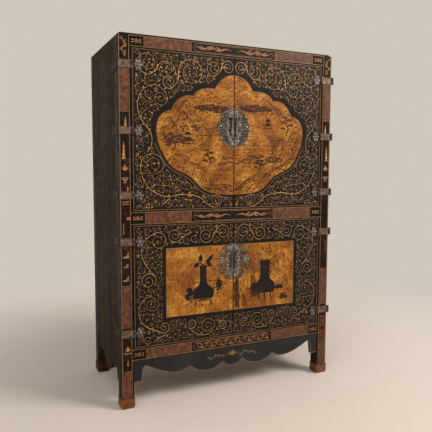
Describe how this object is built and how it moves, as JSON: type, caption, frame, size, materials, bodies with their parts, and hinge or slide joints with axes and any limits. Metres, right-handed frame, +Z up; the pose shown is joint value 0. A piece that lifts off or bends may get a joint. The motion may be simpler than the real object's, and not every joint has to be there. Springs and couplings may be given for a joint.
{
  "type": "display cabinet",
  "caption": "Tall lacquer cabinet on legs: an upper and a lower pair of hinged doors, wrap-round strap hinges, pierced round lock plates with pendant pulls, and a scalloped apron.",
  "frame": {"origin": "centre of the overall footprint on the floor", "axes": "+X to the right seen from the front, +Y from the doors to the back, +Z up"},
  "size_m": [1.2616, 0.627, 1.86],
  "materials": {
    "black_lacquer": "black lacquer, half gloss, worn",
    "frame_lacquer": "black and red-brown lacquer, half gloss, worn",
    "side_lacquer": "brown-black lacquer, satin",
    "bare_wood": "thin brown stain over bare wood",
    "shoe_lacquer": "rust-brown lacquer, worn",
    "aged_paktong": "aged white brass, dull"
  },
  "bodies": {
    "case": {"post_front_left": "frame_lacquer", "post_front_right": "frame_lacquer", "post_rear_left": "frame_lacquer", "post_rear_right": "frame_lacquer", "foot_shoe_front_left": "shoe_lacquer", "foot_shoe_front_right": "shoe_lacquer", "foot_shoe_rear_left": "shoe_lacquer", "foot_shoe_rear_right": "shoe_lacquer", "rail_front_top": "frame_lacquer", "rail_front_middle": "frame_lacquer", "rail_front_bottom": "frame_lacquer", "rail_rear_top": "frame_lacquer", "rail_rear_bottom": "frame_lacquer", "rail_left_top": "frame_lacquer", "rail_left_bottom": "frame_lacquer", "rail_right_top": "frame_lacquer", "rail_right_bottom": "frame_lacquer", "side_panel_left": "side_lacquer", "side_panel_right": "side_lacquer", "back_panel_upper": "bare_wood", "back_panel_lower": "bare_wood", "middle_board": "bare_wood", "shelf_upper": "bare_wood", "bottom_board": "bare_wood", "top_board": "black_lacquer", "apron_front": "black_lacquer", "apron_left": "black_lacquer", "apron_right": "black_lacquer", "hinge_strap_upper_left_1": "aged_paktong", "hinge_strap_upper_left_2": "aged_paktong", "hinge_strap_upper_left_3": "aged_paktong", "hinge_strap_upper_right_1": "aged_paktong", "hinge_strap_upper_right_2": "aged_paktong", "hinge_strap_upper_right_3": "aged_paktong", "hinge_strap_lower_left_1": "aged_paktong", "hinge_strap_lower_left_2": "aged_paktong", "hinge_strap_lower_right_1": "aged_paktong", "hinge_strap_lower_right_2": "aged_paktong"},
    "door_upper_left": {"door_upper_left": "black_lacquer", "lock_plate_upper_left": "aged_paktong", "hinge_leaf_upper_left_1": "aged_paktong", "hinge_leaf_upper_left_2": "aged_paktong", "hinge_leaf_upper_left_3": "aged_paktong"},
    "pull_upper_left": {"pull_upper_left": "aged_paktong"},
    "door_upper_right": {"door_upper_right": "black_lacquer", "lock_plate_upper_right": "aged_paktong", "hinge_leaf_upper_right_1": "aged_paktong", "hinge_leaf_upper_right_2": "aged_paktong", "hinge_leaf_upper_right_3": "aged_paktong"},
    "pull_upper_right": {"pull_upper_right": "aged_paktong"},
    "door_lower_left": {"door_lower_left": "black_lacquer", "lock_plate_lower_left": "aged_paktong", "hinge_leaf_lower_left_1": "aged_paktong", "hinge_leaf_lower_left_2": "aged_paktong"},
    "pull_lower_left": {"pull_lower_left": "aged_paktong"},
    "door_lower_right": {"door_lower_right": "black_lacquer", "lock_plate_lower_right": "aged_paktong", "hinge_leaf_lower_right_1": "aged_paktong", "hinge_leaf_lower_right_2": "aged_paktong"},
    "pull_lower_right": {"pull_lower_right": "aged_paktong"}
  },
  "joints": [
    {"name": "door_upper_left_hinge", "type": "hinge", "parent": "case", "child": "door_upper_left", "pos_m": [-0.551, -0.30515, 1.3965], "axis": [0, 0, -1], "range_deg": [0, 170]},
    {"name": "door_upper_right_hinge", "type": "hinge", "parent": "case", "child": "door_upper_right", "pos_m": [0.551, -0.30515, 1.3965], "axis": [0, 0, 1], "range_deg": [0, 170]},
    {"name": "door_lower_left_hinge", "type": "hinge", "parent": "case", "child": "door_lower_left", "pos_m": [-0.551, -0.30515, 0.619], "axis": [0, 0, -1], "range_deg": [0, 170]},
    {"name": "door_lower_right_hinge", "type": "hinge", "parent": "case", "child": "door_lower_right", "pos_m": [0.551, -0.30515, 0.619], "axis": [0, 0, 1], "range_deg": [0, 170]},
    {"name": "pull_upper_left_swing", "type": "hinge", "parent": "door_upper_left", "child": "pull_upper_left", "pos_m": [-0.0125, -0.30845, 1.477], "axis": [-1, 0, 0], "range_deg": [0, 160]},
    {"name": "pull_upper_right_swing", "type": "hinge", "parent": "door_upper_right", "child": "pull_upper_right", "pos_m": [0.0125, -0.30845, 1.477], "axis": [-1, 0, 0], "range_deg": [0, 160]},
    {"name": "pull_lower_left_swing", "type": "hinge", "parent": "door_lower_left", "child": "pull_lower_left", "pos_m": [-0.0125, -0.30845, 0.766], "axis": [-1, 0, 0], "range_deg": [0, 160]},
    {"name": "pull_lower_right_swing", "type": "hinge", "parent": "door_lower_right", "child": "pull_lower_right", "pos_m": [0.0125, -0.30845, 0.766], "axis": [-1, 0, 0], "range_deg": [0, 160]}
  ]
}
